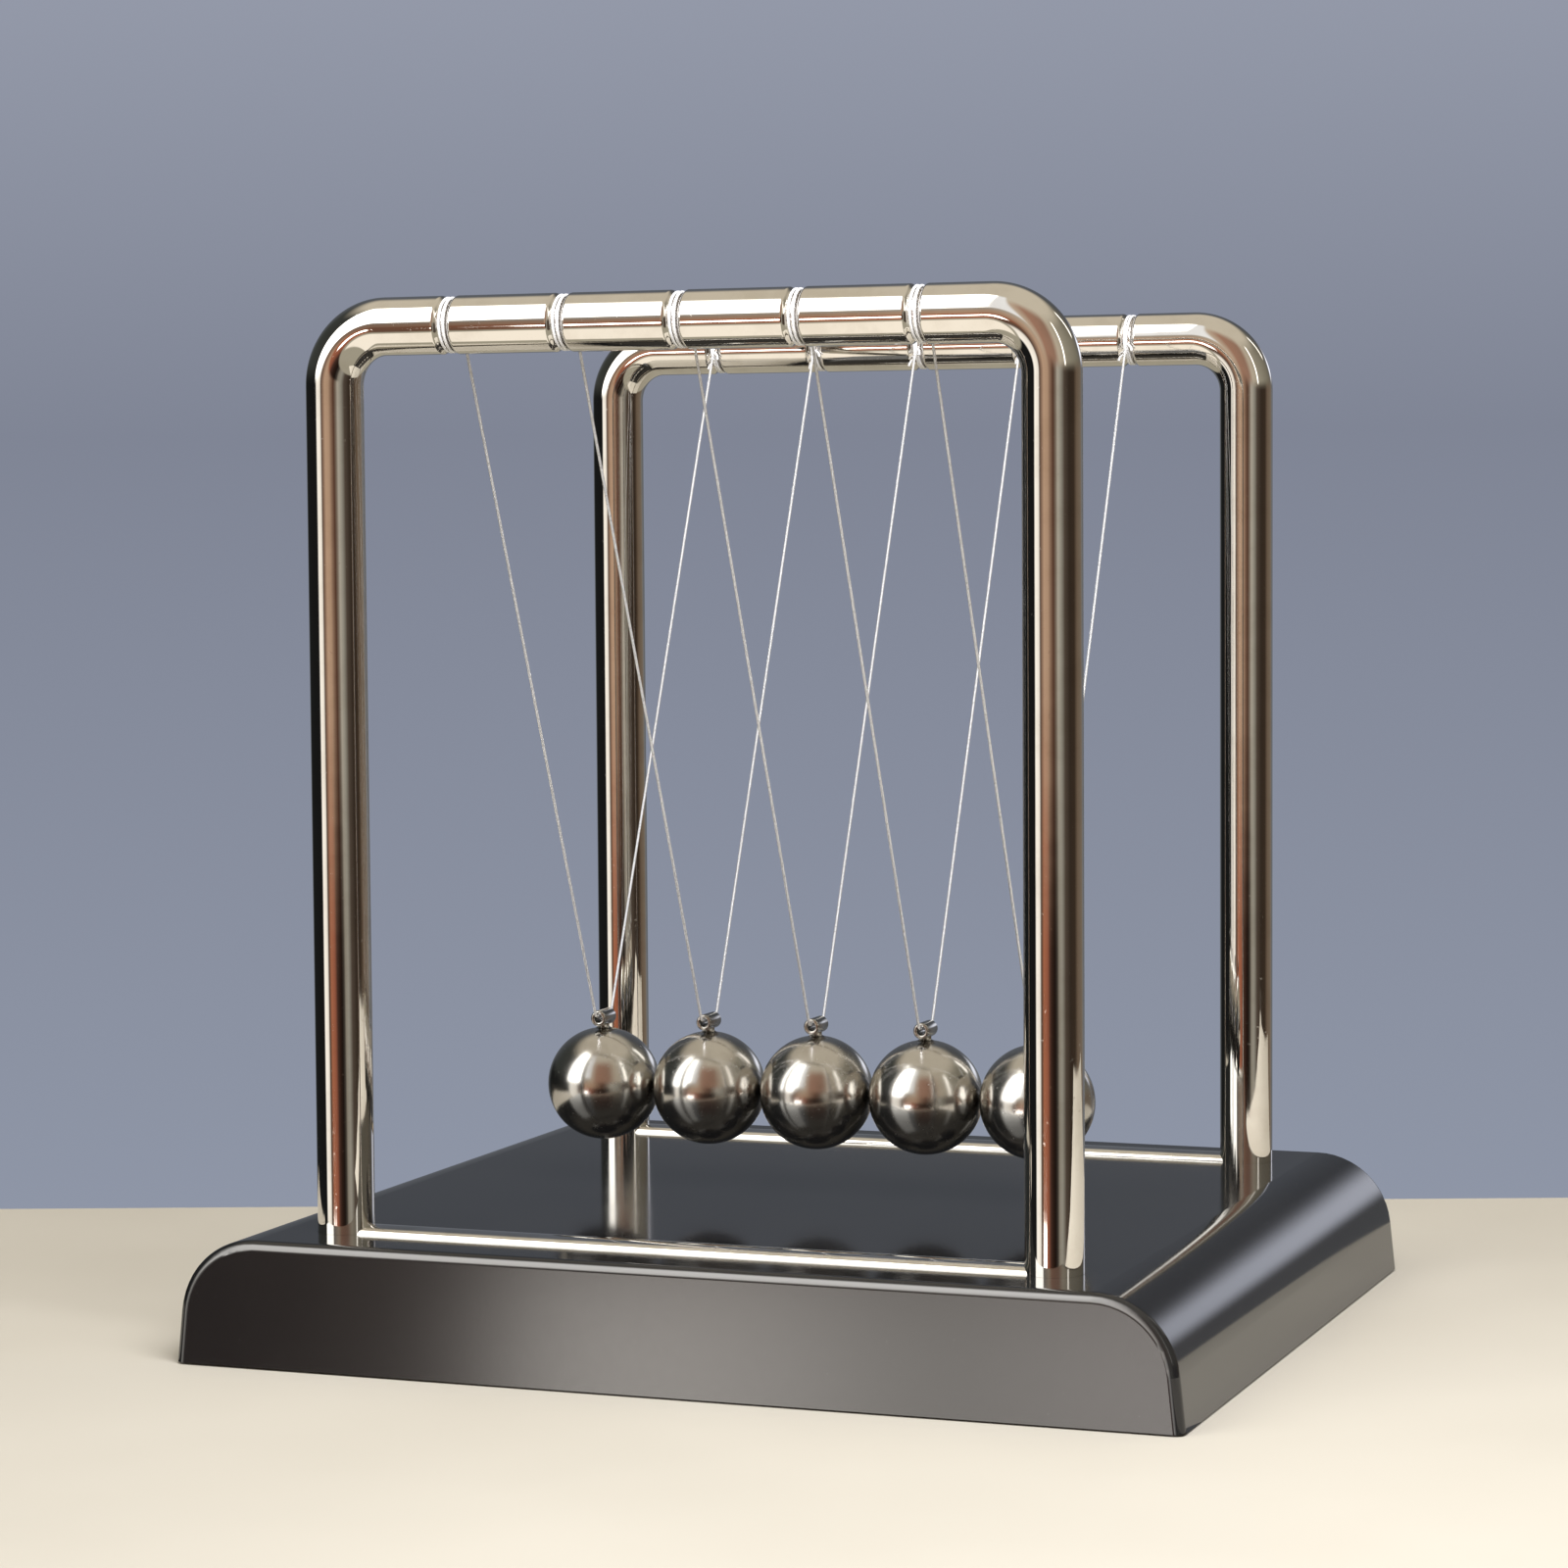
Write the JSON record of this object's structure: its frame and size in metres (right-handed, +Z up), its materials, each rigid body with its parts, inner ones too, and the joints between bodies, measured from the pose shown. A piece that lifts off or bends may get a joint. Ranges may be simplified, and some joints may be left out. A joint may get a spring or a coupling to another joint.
{
  "type": "newtons cradle",
  "caption": "Desk pendulum toy: a row of polished balls hung on V-shaped lines between two bent chrome rod frames on a black base with rounded ends.",
  "frame": {"origin": "centre of the footprint, at the underside of the foot pads", "axes": "+X along the row of balls, +Y from front to back, +Z up"},
  "size_m": [0.145, 0.125, 0.1476],
  "materials": {
    "black_moulding": "glossy top, satin sides",
    "pad_rubber": "matt",
    "zinc_fastener": "satin",
    "frame_chrome": "mirror",
    "bar_chrome": "mirror",
    "clear_nylon": "clear, glossy",
    "ball_steel": "mirror polished",
    "eyelet_steel": "bright"
  },
  "bodies": {
    "stand": {"base_shell": "black_moulding", "foot_pad_front_left": "pad_rubber", "foot_pad_front_right": "pad_rubber", "foot_pad_back_left": "pad_rubber", "foot_pad_back_right": "pad_rubber", "leg_screws": "zinc_fastener", "leg_washers": "zinc_fastener", "front_frame": "frame_chrome", "back_frame": "frame_chrome", "front_foot_bar": "bar_chrome", "back_foot_bar": "bar_chrome", "front_loop_1": "clear_nylon", "front_loop_2": "clear_nylon", "front_loop_3": "clear_nylon", "front_loop_4": "clear_nylon", "front_loop_5": "clear_nylon", "back_loop_1": "clear_nylon", "back_loop_2": "clear_nylon", "back_loop_3": "clear_nylon", "back_loop_4": "clear_nylon", "back_loop_5": "clear_nylon"},
    "ball_1": {"ball_1": "ball_steel", "eyelet_1": "eyelet_steel", "line_1": "clear_nylon"},
    "ball_2": {"ball_2": "ball_steel", "eyelet_2": "eyelet_steel", "line_2": "clear_nylon"},
    "ball_3": {"ball_3": "ball_steel", "eyelet_3": "eyelet_steel", "line_3": "clear_nylon"},
    "ball_4": {"ball_4": "ball_steel", "eyelet_4": "eyelet_steel", "line_4": "clear_nylon"},
    "ball_5": {"ball_5": "ball_steel", "eyelet_5": "eyelet_steel", "line_5": "clear_nylon"}
  },
  "joints": [
    {"name": "ball_1_swing", "type": "hinge", "parent": "stand", "child": "ball_1", "pos_m": [-0.0338, 0, 0.14172], "axis": [0, -1, 0], "range_deg": [-60, 0.1]},
    {"name": "ball_2_swing", "type": "hinge", "parent": "stand", "child": "ball_2", "pos_m": [-0.0169, 0, 0.14172], "axis": [0, -1, 0], "range_deg": [-0.1, 0.1]},
    {"name": "ball_3_swing", "type": "hinge", "parent": "stand", "child": "ball_3", "pos_m": [0, 0, 0.14172], "axis": [0, -1, 0], "range_deg": [-0.1, 0.1]},
    {"name": "ball_4_swing", "type": "hinge", "parent": "stand", "child": "ball_4", "pos_m": [0.0169, 0, 0.14172], "axis": [0, -1, 0], "range_deg": [-0.1, 0.1]},
    {"name": "ball_5_swing", "type": "hinge", "parent": "stand", "child": "ball_5", "pos_m": [0.0338, 0, 0.14172], "axis": [0, -1, 0], "range_deg": [-0.1, 60]}
  ]
}
